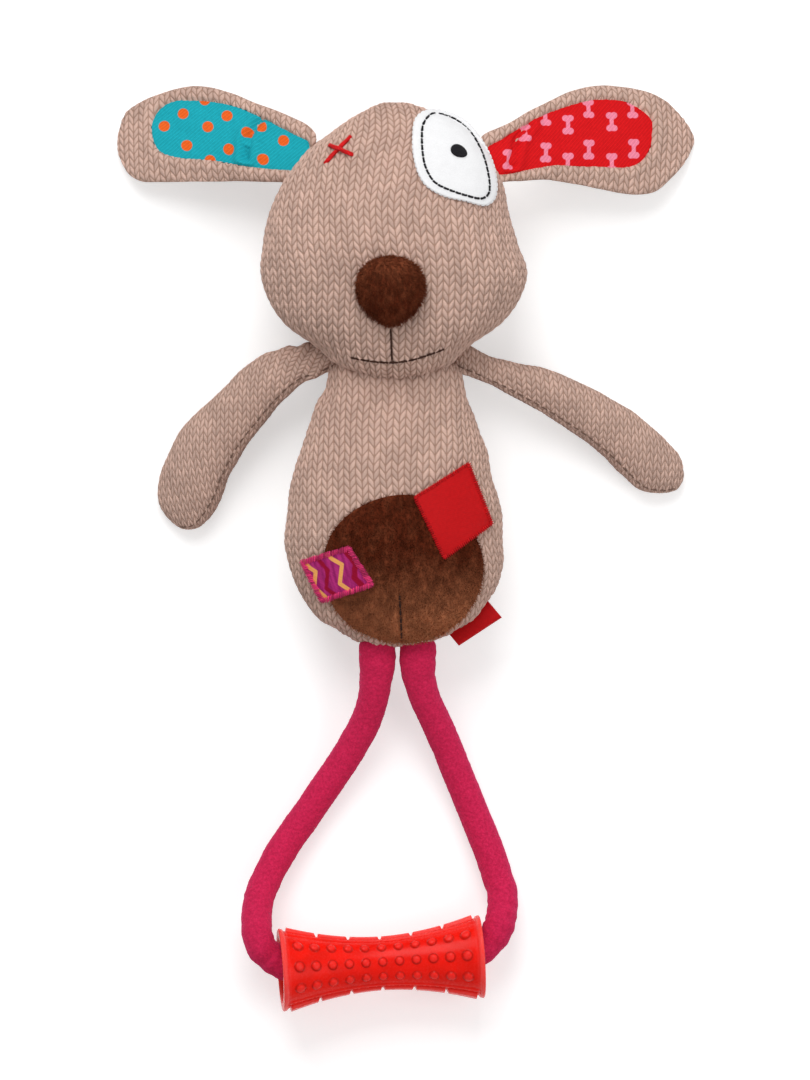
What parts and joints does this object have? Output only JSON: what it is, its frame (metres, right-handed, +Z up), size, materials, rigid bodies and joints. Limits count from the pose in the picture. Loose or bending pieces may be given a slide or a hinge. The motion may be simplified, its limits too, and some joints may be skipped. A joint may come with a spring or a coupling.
{
  "type": "plush tug toy",
  "caption": "Stuffed knit dog pet toy with printed ears, sewn patches, an inner squeaker and a rope leg loop through an hourglass rubber chew handle.",
  "frame": {"origin": "on the floor under the middle of the toy's bounding box, the toy lying on its back", "axes": "+Y from the chew handle to the top of the head, +X to the right seen from the front, +Z up out of the dog's face and belly"},
  "size_m": [0.2194, 0.3518, 0.0722],
  "materials": {
    "knit": "chunky taupe stockinette knit, matte",
    "fibre_filling": "loose white polyester fibre",
    "brown_plush": "short brown plush pile",
    "white_felt": "smooth white felt",
    "black_thread": "black embroidery thread",
    "red_thread": "red yarn",
    "brown_thread": "dark brown thread",
    "pink_thread": "hot pink whipstitch thread",
    "dotted_print": "turquoise twill with orange dots",
    "bone_print": "red twill with small pink bones",
    "zigzag_ribbon": "purple and crimson woven ribbon with yellow zigzags",
    "red_label": "plain red woven label ribbon",
    "crimson_velour": "crimson velour with a fuzzy pile",
    "rope_core": "plain twisted rope",
    "red_rubber": "translucent red thermoplastic rubber, soft gloss",
    "squeaker_vinyl": "thin cream vinyl",
    "squeaker_reed": "hard white plastic"
  },
  "bodies": {
    "torso": {"body_front_panel": "knit", "body_back_panel": "knit", "body_filling": "fibre_filling", "squeaker_bulb": "squeaker_vinyl", "squeaker_reed": "squeaker_reed", "belly_patch": "brown_plush", "zigzag_patch": "zigzag_ribbon", "label_patch": "red_label", "zigzag_patch_stitching": "pink_thread", "label_patch_stitching": "red_thread", "belly_stitch": "brown_thread", "side_tag": "red_label"},
    "head": {"head_front_panel": "knit", "head_back_panel": "knit", "head_filling": "fibre_filling", "nose_cap": "brown_plush", "nose_filling": "fibre_filling", "eye_patch": "white_felt", "eye_pupil": "black_thread", "eye_stitching": "black_thread", "cross_stitch_long": "red_thread", "cross_stitch_short": "red_thread", "mouth_stitch": "brown_thread", "muzzle_stitch": "brown_thread"},
    "ear_left": {"ear_left_front_panel": "knit", "ear_left_back_panel": "knit", "ear_left_lining": "dotted_print"},
    "ear_right": {"ear_right_front_panel": "knit", "ear_right_back_panel": "knit", "ear_right_lining": "bone_print"},
    "arm_left": {"arm_left_front_panel": "knit", "arm_left_back_panel": "knit", "arm_left_filling": "fibre_filling"},
    "arm_right": {"arm_right_front_panel": "knit", "arm_right_back_panel": "knit", "arm_right_filling": "fibre_filling"},
    "leg_loop": {"leg_cord_sleeve": "crimson_velour", "leg_cord_core": "rope_core"},
    "handle": {"chew_handle": "red_rubber"}
  },
  "joints": [
    {"name": "neck_nod", "type": "hinge", "parent": "torso", "child": "head", "pos_m": [-0.00457, 0.06083, 0.0265], "axis": [1, 0, 0], "range_deg": [-12, 24]},
    {"name": "ear_left_fold", "type": "hinge", "parent": "head", "child": "ear_left", "pos_m": [-0.04017, 0.15023, 0.0325], "axis": [0.6691, 0.7431, 0], "range_deg": [-12, 72]},
    {"name": "ear_right_fold", "type": "hinge", "parent": "head", "child": "ear_right", "pos_m": [0.03403, 0.14843, 0.0325], "axis": [0.6428, -0.766, 0], "range_deg": [-12, 72]},
    {"name": "arm_left_swing", "type": "hinge", "parent": "torso", "child": "arm_left", "pos_m": [-0.03417, 0.07133, 0.0265], "axis": [-0.2588, 0.9659, 0], "range_deg": [-8, 64]},
    {"name": "arm_right_swing", "type": "hinge", "parent": "torso", "child": "arm_right", "pos_m": [0.02283, 0.07193, 0.0265], "axis": [-0.2588, -0.9659, 0], "range_deg": [-8, 64]},
    {"name": "leg_swing", "type": "hinge", "parent": "torso", "child": "leg_loop", "pos_m": [-0.00317, -0.04037, 0.0265], "axis": [-1, 0, 0], "range_deg": [-45, 65]},
    {"name": "handle_spin", "type": "hinge", "parent": "leg_loop", "child": "handle", "pos_m": [-0.00947, -0.15737, 0.01907], "axis": [0.9947, 0.0661, -0.0785], "continuous": true}
  ]
}
